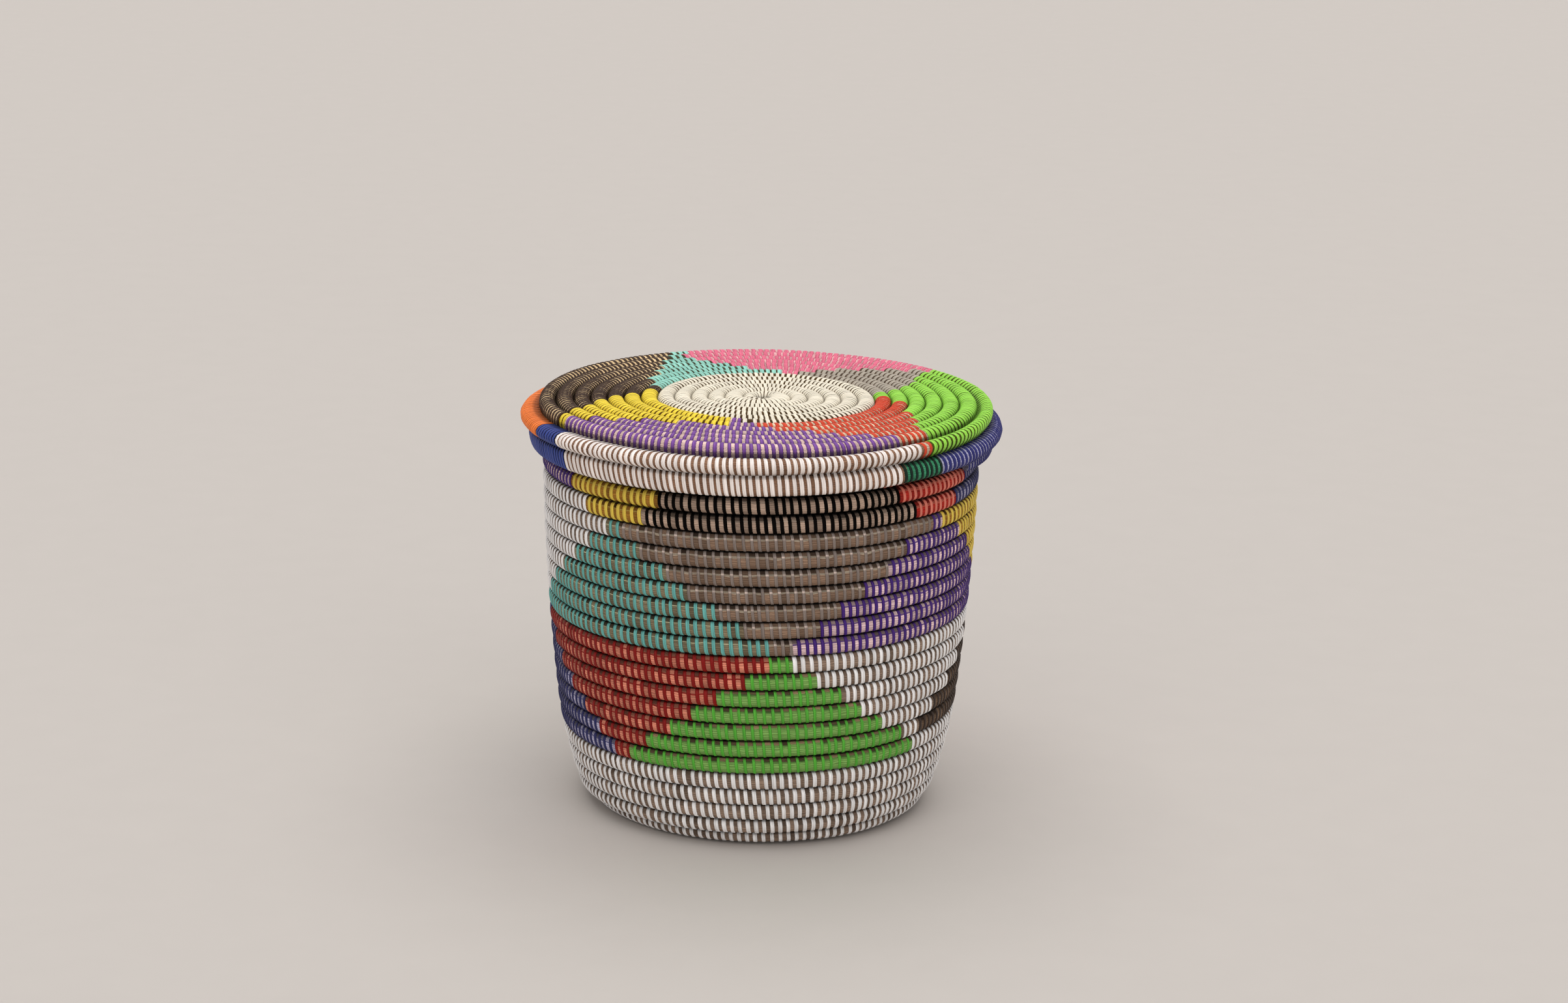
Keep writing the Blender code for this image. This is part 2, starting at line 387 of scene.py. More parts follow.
class Strip(Enum):
    """The colours of strip on the basket and, sewn closer, on its lid."""

    WHITE = StripFinish((248, 244, 242), (150, 126, 108), cover=0.57, seam=0.4, gap_above=0.6)
    TEAL = StripFinish(
        (108, 180, 172), (140, 124, 98), (206, 196, 158), 0.08, 0.5, 1.06, crease=0.6
    )
    GRAY = StripFinish((138, 124, 116), (142, 114, 94), (176, 160, 140), 0.12, 0.44, glint=1.6)
    PURPLE = StripFinish(
        (64, 32, 112), (238, 204, 204), (120, 88, 150), 0.1, 0.52, 0.95, crease=1.4
    )
    YELLOW = StripFinish((232, 200, 80), (168, 116, 46), (196, 160, 78), 0.1, 0.56, 1.04, seam=0.3)
    PINK = StripFinish((206, 92, 134), (176, 130, 124), cover=0.5)
    GREEN = StripFinish((88, 178, 58), (180, 150, 114), (130, 174, 90), 0.7, 0.4, 1.04)
    RED = StripFinish((136, 16, 12), (226, 140, 114), (160, 50, 40), 0.1, 0.52, 1.03, seam=0.25)
    BROWN = StripFinish((60, 46, 38), (124, 100, 80), cover=0.5)
    NAVY = StripFinish((38, 40, 92), (180, 174, 200), (90, 90, 140), 0.08, 0.52, seam=0.25)
    ORANGE = StripFinish((214, 104, 52), (156, 110, 78), cover=0.5)
    BLACK = StripFinish(
        (10, 7, 6), (190, 162, 142), (204, 190, 172), 0.05, 0.5, roughness=0.7, gloss=0.03
    )
    RUST = StripFinish(
        (230, 128, 108), (180, 44, 34), (196, 94, 76), 0.15, 0.5, 0.95, edge=0.8, seam=0.25
    )
    LID_WHITE = lid_strip((255, 244, 222), (96, 72, 42), seam=0.7, above=1.0, cover=0.68)
    LID_PURPLE = lid_strip(
        (122, 74, 152), (255, 220, 206), seam=0.35, above=0.65, cover=0.6, crease=1.4
    )
    LID_RED = lid_strip((222, 74, 44), (255, 226, 194), seam=0.32, cover=0.62)
    LID_GREEN = lid_strip((162, 230, 82), (84, 92, 24), cover=0.74)
    LID_GRAY = lid_strip((186, 174, 158), (106, 88, 72))
    LID_PINK = lid_strip((240, 118, 146), (252, 190, 192), cover=0.74)
    LID_TEAL = lid_strip((160, 222, 204), (88, 84, 60), seam=0.5, cover=0.73)
    LID_BROWN = lid_strip((66, 46, 34), (255, 220, 170), seam=0.3, cover=0.6, edge=0.5)
    LID_YELLOW = lid_strip((255, 224, 64), (116, 78, 14), seam=0.4, cover=0.72)
    SKIRT_WHITE = lid_strip((255, 243, 236), (150, 112, 88), seam=0.65, cover=0.67, edge=0.5)
    SKIRT_ORANGE = lid_strip(
        (255, 132, 58), (140, 52, 16), seam=0.5, cover=0.82, spacing=0.76, edge=0.3
    )
    SKIRT_BLUE = lid_strip(
        (60, 76, 150), (16, 18, 52), seam=0.5, cover=0.78, spacing=0.76, edge=0.3
    )
    SKIRT_GREEN = lid_strip((12, 40, 30), (72, 156, 114), seam=0.5, cover=0.58, spacing=0.95)
    SKIRT_NAVY = lid_strip((44, 46, 116), (184, 180, 212), seam=0.5, cover=0.7)


# Centre lines of the two coils


@dataclass
class CoilPath:
    """A coil's centre line, by the number of its turns.

    Attributes:
        pitch: Spacing of the turns.
        half_height: Half the bundle's thickness across the seams.
        half_depth: Half its thickness out of the surface.
        hand: 1 if it winds anticlockwise seen from above, and -1 if it winds clockwise.
        start_angle: Angle at which it starts.
        unevenness: How far hand work lets the centre line stray.
        first_turn: The turn at which it starts.
        turns: The turns that the table is for.
        table: Radius, height, thickness ahead and behind, and headings ahead and behind, there.
    """

    pitch: float
    half_height: float
    half_depth: float
    hand: int
    start_angle: float
    unevenness: float = 0.3 * MM
    first_turn: float = field(init=False)
    turns: Array = field(init=False)
    table: tuple[Array, ...] = field(init=False)

    def tabulate(self, turns: Array, along: Callable[[float], Triple]) -> None:
        """Fill the table that places are read from.

        The half of the section towards the turn before points at that turn and reaches it.

        Args:
            turns: The turns to tabulate.
            along: Gives the radius, height and fullness after some turns.
        """
        last, places, following = (
            np.array([along(turn + step) for turn in turns]) for step in (-1, 0, 1)
        )
        before, after = places - last, following - places
        radius, height, full = places.T
        radius = radius + self.unevenness * wander(turns, 1)
        height = height + self.unevenness * wander(turns, 2)
        first = turns < turns[0] + 1
        reach = np.hypot(before[:, 0], before[:, 1]) / self.half_height - last[:, 2]
        ahead = np.arctan2(after[:, 1], after[:, 0])
        behind = np.where(first, ahead, np.arctan2(before[:, 1], before[:, 0]))
        self.turns = turns
        self.table = (radius, height, full, np.where(first, full, reach), ahead, behind)

    def radius_at(self, turns: Array) -> Array:
        """Radius of the centre line after some turns."""
        return np.interp(turns, self.turns, self.table[0])

    def fullness_at(self, turns: Array) -> Array:
        """Thickness of the bundle after some turns, as a share of the full one."""
        return np.interp(turns, self.turns, self.table[2])

    def points(self, turns: Array, out: Array, up: Array, proud: Array) -> Array:
        """Places on or near the bundle's surface.

        Args:
            turns: How far along the coil each place is.
            out: Its place out of the surface, as a share of the bundle's half depth.
            up: Its place towards the next turn, as a share of the half height.
            proud: Its distances beyond that, in metres, outwards and towards the next turn.

        Returns:
            The places, three numbers each.
        """
        rows = (np.interp(turns, self.turns, row) for row in self.table)
        radius, height, full, back, ahead, behind = rows
        facing = (ahead + behind) / 2
        heading = behind + (ahead - behind) * (up + 1) / 2
        reach = self.hand * (out * self.half_depth * full + proud[..., 0])
        climb = up * self.half_height * np.where(up < 0, back, full) + proud[..., 1]
        radial = radius + np.cos(heading) * climb + np.sin(facing) * reach
        rise = height + np.sin(heading) * climb - np.cos(facing) * reach
        angle = self.start_angle + self.hand * TURN * (turns + FACET_SHIFT)
        return np.stack([np.cos(angle) * radial, np.sin(angle) * radial, rise], axis=-1)


@dataclass
class WallPath(CoilPath):
    """The basket's coil: a flat spiral, a bend at the foot, and the wall.

    Attributes:
        flat_height: Height of the flat spiral's centre line.
        first_along: Distance round the bend at which the wall's first turn starts.
        wall_radius: Radius of the wall's centre line before it leans.
        rim_height: Height at which the wall stops leaning.
        lean: How much narrower the wall is at the floor than at the rim.
        foot_tuck: How much further the foot draws in.
        foot_height: Height at which it starts to.
        bend_radius: Radius of the bend at the foot.
        bend_angle: Angle that the bend turns through.
        neck_height: Height at which the hidden neck steps in.
        neck_rise: Height of that step.
        neck_in: Its depth.
        end_turn: Turns of the wall.
        taper_turns: Length of the coil's tapered end, in turns.
        end_share: Thickness of the end.
        profile_steps: Steps of the profile to a turn's pitch.
        table_step: Turns between two places of the table.
    """

    flat_height: float = 0.006104
    first_along: float = 0.001
    wall_radius: float = 0.1314
    rim_height: float = 0.2466
    lean: float = 0.02
    foot_tuck: float = 0.009
    foot_height: float = 0.07
    bend_radius: float = 0.013
    bend_angle: float = math.radians(65)
    neck_height: float = 0.2225
    neck_rise: float = 0.012
    neck_in: float = 0.005
    end_turn: float = 22.65
    taper_turns: float = 0.15
    end_share: float = 0.4
    profile_steps: int = 20
    table_step: float = 0.02

    def __post_init__(self) -> None:
        """Walk up the profile in small steps, then tabulate the coil along it."""
        step = self.pitch / self.profile_steps
        top = self.flat_height + self.bend_radius * (1 - math.cos(self.bend_angle))
        start = self.lean_radius(top) - self.bend_radius * math.sin(self.bend_angle)
        radii, heights, alongs = [0.0, start], [self.flat_height] * 2, [-start, 0.0]
        for index in range(1, int(self.bend_radius * self.bend_angle / step) + 1):
            angle = index * step / self.bend_radius
            radii.append(start + self.bend_radius * math.sin(angle))
            heights.append(self.flat_height + self.bend_radius * (1 - math.cos(angle)))
            alongs.append(index * step)
        while alongs[-1] < (self.end_turn + 2) * self.pitch:
            slope = (self.lean_radius(heights[-1] + step) - radii[-1]) / step
            heights.append(heights[-1] + step / math.sqrt(1 + slope * slope))
            radii.append(self.lean_radius(heights[-1]))
            alongs.append(alongs[-1] + step)
        self.first_turn = CENTRE_START - (start + self.first_along) / self.pitch

        def along(turn: float) -> Triple:
            """Radius, height and fullness after some turns."""
            distance = self.first_along + turn * self.pitch
            share = smooth((self.end_turn - turn) / self.taper_turns)
            full = self.end_share + (1 - self.end_share) * share
            full = min(full, centre_fullness(turn - self.first_turn))
            return np.interp(distance, alongs, radii), np.interp(distance, alongs, heights), full

        self.tabulate(np.arange(self.first_turn, self.end_turn + 0.5, self.table_step), along)

    def lean_radius(self, height: float) -> float:
        """Draw the wall's profile.

        Args:
            height: A height above the floor.

        Returns:
            Radius of the wall's centre line there.
        """
        lean = self.lean * (1 - height / self.rim_height) ** 2
        tuck = self.foot_tuck * max(0.0, 1 - height / self.foot_height) ** 2
        neck = self.neck_in * smooth((height - self.neck_height) / self.neck_rise)
        return self.wall_radius - lean - tuck - neck


@dataclass
class LidPath(CoilPath):
    """The lid's coil: a flat spiral that rolls over the edge and hangs down as a skirt.

    Attributes:
        seat: Height of the lid's underside.
        flat_height: Height of the flat spiral's centre line above that.
        pattern_radius: Radius at which the pattern starts.
        places: Number of places in the table.
        edge: The last turns: the turn, how far the coil has gone out and down, in pitches, and
            its fullness.
    """

    seat: float = 0.0
    flat_height: float = 0.005716
    pattern_radius: float = 0.0681
    places: int = 760
    edge: tuple[Row, ...] = (
        (5, 5, 0, 1),
        (5.25, 5.27, 0, 1.05),
        (5.75, 5.79, 0.01, 1.05),
        (6, 6.07, 0.02, 1.03),
        (6.25, 6.31, 0.02, 1.04),
        (6.5, 6.54, 0.05, 1.04),
        (6.75, 6.79, 0.09, 1.02),
        (7, 7.2, 0.6, 1.12),
        (7.25, 7.31, 0.74, 1.11),
        (7.5, 7.34, 0.91, 1.09),
        (7.75, 7.27, 1.18, 1.02),
        (8, 6.7, 1.8, 1.02),
        (8.25, 6.81, 1.94, 1),
        (8.5, 6.92, 2.06, 0.95),
        (8.7, 6.92, 2.14, 0.8),
        (8.81, 6.9, 2.17, 0.4),
    )

    def __post_init__(self) -> None:
        """Tabulate the coil."""
        self.first_turn = CENTRE_START - self.pattern_radius / self.pitch
        turns = np.linspace(self.first_turn, self.edge[-1][0], self.places)
        self.tabulate(turns, self.along)

    def along(self, turn: float) -> Triple:
        """Follow the coil, smoothly through its edge's table and straight down beyond its end.

        Args:
            turn: A number of turns.

        Returns:
            Radius, height and fullness after them.
        """
        rows, centre_height = self.edge, self.seat + self.flat_height
        if turn > rows[-1][0]:
            radius, height, full = self.along(turn - 1)
            return radius, height - self.pitch, full
        if turn < rows[0][0]:
            full = centre_fullness(turn - self.first_turn)
            lift = (1 - full) * self.half_height / 2
            return self.pattern_radius + turn * self.pitch, centre_height + lift, full
        last = len(rows) - 2
        index = next((i for i in range(last) if turn < rows[i + 1][0]), last)
        before, low, high, after = (
            np.array(rows[min(max(i, 0), last + 1)]) for i in range(index - 1, index + 3)
        )
        rise, span = high - low, high[0] - low[0]
        share = min((turn - low[0]) / span, 1.0)
        leaving = (high - before) / (high[0] - before[0]) * span - rise
        arriving = (after - low) / (after[0] - low[0]) * span - rise
        bend = share * (1 - share) * (leaving * (1 - share) - arriving * share)
        _, out, drop, full = low + rise * share + bend
        return self.pattern_radius + out * self.pitch, centre_height - drop * self.pitch, full


def centre_fullness(turns: float) -> float:
    """Thickness of a bundle some turns after its start, where it is wound up from a few stalks."""
    return CENTRE_SHARE + (1 - CENTRE_SHARE) * smooth(turns / CENTRE_TURNS)


def wander(turns: Array, seed: int) -> Array:
    """Make an irregularity that hardly changes from one turn to the next.

    Args:
        turns: The turns to find it at.
        seed: Its seed.

    Returns:
        Values between -1 and 1.
    """
    chance = random.Random(seed)
    # Nearly whole numbers of waves to a turn, so that turns beside each other stray alike
    waves = [(often + chance.uniform(-0.03, 0.03), chance.random()) for often in (2, 3, 5, 8, 11)]
    return sum(np.sin(TURN * (turns * often + shift)) for often, shift in waves) / len(waves)


def smooth(share: float) -> float:
    """Ease from 0 to 1 with flat ends."""
    share = min(max(share, 0.0), 1.0)
    return share * share * (3 - 2 * share)


# Patterns: which strip is sewn where


def wrapped(azimuth: float) -> float:
    """An azimuth in degrees, from -180 to 180, with 0 at the front and 90 on the right."""
    return (azimuth + 180) % 360 - 180


@dataclass(frozen=True)
class Triangle:
    """An upright triangle of a band, and the hanging one on its right.

    Attributes:
        centre: Azimuth of its middle, in degrees.
        halves: Half its width in degrees in each row, from the lowest up.
        strip: Its colour.
        hanging: The colour of the hanging triangle on its right.
    """

    centre: float
    halves: tuple[float, ...]
    strip: Strip
    hanging: Strip


@dataclass(frozen=True)
class Band:
    """Rows of triangles round the wall.

    Attributes:
        first_row: The band's lowest row, counted from the floor.
        triangles: Its upright triangles, by azimuth.
        start: The turn at which the pattern starts.
        before: The strip that is sewn before that.
    """

    first_row: int
    triangles: tuple[Triangle, ...]
    start: float = 0.0
    before: Strip = Strip.WHITE

    def strip(self, turn: float) -> Strip:
        """Find the triangle that a place is in.

        Args:
            turn: The place, in turns from the coil's start angle.

        Returns:
            The strip that is sewn there.
        """
        if turn < self.start:
            return self.before
        row = min(max(int(turn) - self.first_row, 0), len(self.triangles[0].halves) - 1)
        azimuth = wrapped(turn % 1 * 360 - 180)
        for triangle in self.triangles:
            if abs(wrapped(azimuth - triangle.centre)) < triangle.halves[row]:
                return triangle.strip
        return min(self.triangles, key=lambda t: (azimuth - t.centre) % 360).hanging


@dataclass(frozen=True)
class Runs:
    """Lengths of one colour after another.

    Attributes:
        ends: The turn at which each run ends, and its strip.
    """

    ends: tuple[tuple[float, Strip], ...]

    def strip(self, turn: float) -> Strip:
        """The strip that is sewn at a place, in turns from the coil's start angle."""
        return next((strip for end, strip in self.ends if turn < end), self.ends[-1][1])


@dataclass
class LidPattern:
    """The lid's plain centre, its seven rows of colours, and the lengths of the skirt.

    Attributes:
        starts: Each colour, and where it starts in each row, in degrees clockwise from the front.
        end: The turn at which the rows end.
        skirt: The skirt's lengths.
    """

    starts: tuple[tuple[Strip, tuple[float, ...]], ...]
    end: float
    skirt: Runs

    def __post_init__(self) -> None:
        """Put the starts in the order in which they are sewn."""
        changes = [
            (row + bearing / 360, strip)
            for strip, bearings in self.starts
            for row, bearing in enumerate(bearings)
        ]
        changes.sort(key=lambda change: change[0])
        self.turns = [turn for turn, _ in changes]
        self.strips = [Strip.LID_WHITE] + [strip for _, strip in changes]

    def strip(self, turn: float) -> Strip:
        """The strip that is sewn at a place, in turns from the coil's start angle."""
        rows = self.strips[bisect_right(self.turns, turn)]
        return self.skirt.strip(turn) if turn > self.end else rows


PLAIN_WHITE = Runs(((99.0, Strip.WHITE),))

LOWER_BAND = Band(
    5,
    (
        Triangle(-178, (44, 37, 30, 23, 16, 9, 2), Strip.ORANGE, Strip.WHITE),
        Triangle(-89, (42.6, 36.5, 29.8, 23.4, 16.3, 10, 3), Strip.NAVY, Strip.RED),
        Triangle(3.5, (44.4, 37.9, 30.7, 23.7, 16.5, 9.6, 3.1), Strip.GREEN, Strip.WHITE),
        Triangle(92, (0, 42.3, 35.5, 28.4, 21.4, 14.4, 7.4), Strip.BROWN, Strip.RED),
    ),
)

UPPER_BAND = Band(
    12,
    (
        Triangle(-134, (43, 36.1, 29.2, 22.3, 15.4, 8.5, 1.6), Strip.GREEN, Strip.WHITE),
        Triangle(-43.6, (43.6, 36.5, 29.5, 22.5, 16, 8.7, 1.8), Strip.TEAL, Strip.GRAY),
        Triangle(49.5, (42.8, 36.4, 30.3, 24.2, 18.1, 11.7, 1.9), Strip.PURPLE, Strip.YELLOW),
        Triangle(141, (43, 36.1, 29.2, 22.3, 15.4, 8.5, 1.6), Strip.PINK, Strip.GRAY),
    ),
)

RIM_BAND = Band(
    19,
    (
        Triangle(-98, (44, 37.5, 31, 24.5), Strip.PURPLE, Strip.YELLOW),
        Triangle(3, (37.7, 32, 26.9, 20.5), Strip.BLACK, Strip.RUST),
        Triangle(98, (40.6, 34.3, 28.4, 22), Strip.NAVY, Strip.WHITE),
        Triangle(-175, (36, 29, 22, 15), Strip.GREEN, Strip.YELLOW),
    ),
    start=19.35,
)

SKIRT = Runs(
    (
        (7.16, Strip.SKIRT_WHITE),
        (7.192, Strip.SKIRT_BLUE),
        (7.5, Strip.SKIRT_ORANGE),
        (7.875, Strip.SKIRT_NAVY),
        (7.908, Strip.SKIRT_GREEN),
        (8.158, Strip.SKIRT_WHITE),
        (8.28, Strip.SKIRT_BLUE),
        (8.5, Strip.SKIRT_ORANGE),
        (9.9, Strip.SKIRT_NAVY),
    )
)

LID_PATTERN = LidPattern(
    (
        (Strip.LID_YELLOW, (19, 17, 36.5, 47, 53, 58.5, 62.8)),
        (Strip.LID_BROWN, (102, 92, 86.5, 80, 74.5, 70.5, 66.3)),
        (Strip.LID_TEAL, (111, 122, 135.5, 143, 147.5, 152.5, 155.5)),
        (Strip.LID_PINK, (192, 175, 170, 164, 159.5, 158, 161)),
        (Strip.LID_GRAY, (201, 207, 213, 219.5, 226, 232, 235.4)),
        (Strip.LID_GREEN, (263, 259, 254, 248, 241, 237, 235.5)),
        (Strip.LID_RED, (271, 279, 295.5, 303.5, 311, 314.5, 318.5)),
        (Strip.LID_PURPLE, (12, 3.5, -3.5, -15.5, -23, -30, -35)),
    ),
    6.893,
    SKIRT,
)


# Stitches and bundles


def as_mesh(shape: bmesh.types.BMesh, name: str) -> Mesh:
    """Turn a shape into a mesh, and free it.

    Args:
        shape: The shape.
        name: The mesh's name.

    Returns:
        The mesh.
    """
    mesh = bpy.data.meshes.new(name)
    shape.to_mesh(mesh)
    shape.free()
    return mesh


def add_object(data: ID) -> Object:
    """Put an object in the scene.

    Args:
        data: Its mesh, lamp or lens, whose name it takes.

    Returns:
        The object.
    """
    made = bpy.data.objects.new(data.name, data)
    bpy.context.scene.collection.objects.link(made)
    return made


@dataclass(frozen=True)
class StitchShape:
    """The shape of one stitch.

    Attributes:
        stations: Sections from its outer end, over the top, to its inner end: the angle round the
            bundle, 0 outwards and 90 towards the next turn, the share of the full width, and in
            millimetres the middle's height and the pull towards the turn before.
        slant: How far it slants along the coil from seam to seam, in metres.
        hook: How much further its end curves along.
        edge: Width of its top as a share of its underside's.
        sink: Depth of its underside in the bundle.
        squareness: Exponent of the bundle's rounded section.
    """

    stations: tuple[Row, ...] = (
        (-88, 0.8, -0.2, 1.2),
        (-72, 0.92, 0.14, 0.15),
        (-54, 1, 0.3, 0),
        (-36, 1, 0.38, 0),
        (-18, 1, 0.4, 0),
        (0, 1, 0.4, 0),
        (18, 1, 0.4, 0),
        (36, 1, 0.38, 0),
        (54, 1, 0.3, 0),
        (74, 1, 0.14, 0),
        (100, 1, 0.06, 0),
        (140, 1, 0.3, 0),
        (190, 1, 0.4, 0),
        (236, 0.92, 0.24, 0.15),
        (268, 0.8, -0.2, 1.2),
    )
    slant: float = 1.3 * MM
    hook: float = 0.3 * MM
    edge: float = 0.66
    sink: float = 0.15 * MM
    squareness: float = 3.0

    def template(self) -> Mesh:
        """Make a straight strip, one unit long, with a section for each station.

        Returns:
            The strip.
        """
        shape = bmesh.new()
        turned = Matrix.Rotation(math.pi / 4, 4, "Z")
        bmesh.ops.create_cone(
            shape, cap_ends=True, segments=4, radius1=1, radius2=1, depth=1, matrix=turned
        )
        lengths = [e for e in shape.edges if abs(e.verts[0].co.z - e.verts[1].co.z) > 0.5]
        cuts = len(self.stations) - 2
        bmesh.ops.subdivide_edges(shape, edges=lengths, cuts=cuts, use_grid_fill=True)
        bmesh.ops.recalc_face_normals(shape, faces=shape.faces)
        layer = shape.loops.layers.uv.new("strip")
        for face in shape.faces:
            face.smooth = True
            for loop in face.loops:
                x, y, z = loop.vert.co
                loop[layer].uv = (z + 0.5, 0.5 + math.copysign(0.25 if y > 0 else 0.5, x))
        return as_mesh(shape, "stitch_template")

    def section(self, angle: Array, lift: Array) -> tuple[Array, Array, Array]:
        """Find places round the bundle's rounded section.

        Args:
            angle: Their angles, 0 outwards and a quarter turn towards the next turn.
            lift: Their heights above the bundle.

        Returns:
            What CoilPath.points takes as out, up and proud.
        """
        power = 2 / self.squareness
        out, up = (np.sign(part) * np.abs(part) ** power for part in (np.cos(angle), np.sin(angle)))
        length = np.hypot(out, up)
        return out, up, np.stack([lift * out / length, lift * up / length], axis=-1)

    def wind(self, path: CoilPath, template: Mesh, stitches: Array) -> Array:
        """Bend copies of the template round the bundle.

        Args:
            path: The coil's centre line.
            template: The straight strip.
            stitches: A row for each stitch: its turn, width, slant share and lift.

        Returns:
            The place of each vertex of each copy.
        """
        straight = np.zeros(len(template.vertices) * 3)
        template.vertices.foreach_get("co", straight)
        x, y, z = straight.reshape(-1, 3).T
        station = np.rint((z + 0.5) * (len(self.stations) - 1)).astype(int)
        degrees, share, middle, dive = np.array(self.stations, float)[station].T
        angle, top = np.radians(degrees), y > 0
        down = (1 - np.sin(angle)) / 2
        lean = np.where(degrees > 90, -1.0, 1.0) * (self.slant * down + self.hook * down**3)
        width = share * np.where(top, self.edge, 1.0) * np.sign(x) / 2
        turn, full_width, slant, raised = (column[:, None] for column in stitches.T)
        turns = turn + (lean * slant + width * full_width) / (TURN * path.radius_at(turn))
        lift = np.where(top, middle * MM + raised, -self.sink)
        out, up, proud = self.section(angle, lift)
        proud[..., 1] -= dive * MM
        return path.points(turns, out, up, proud)


@dataclass(frozen=True)
class Zone:
    """A length of coil that stands for one solid of the frame.

    Attributes:
        name: Name of its pieces.
        node: The solid that it stands for.
        slot: Its material slot, which is not used.
        start: Turn at which it starts.
        end: Turn at which it ends.
        spacings: Spacing of its stitches at its start and at its end.
        pattern: Says which strip is sewn where.
        seed: Seed of its irregularities.
    """

    name: str
    node: str
    slot: str
    start: float
    end: float
    spacings: tuple[float, float]
    pattern: Band | Runs | LidPattern
    seed: int

    def strip(self, turn: float) -> Strip:
        """The strip that is sewn after some turns."""
        return self.pattern.strip(turn + FACET_SHIFT)


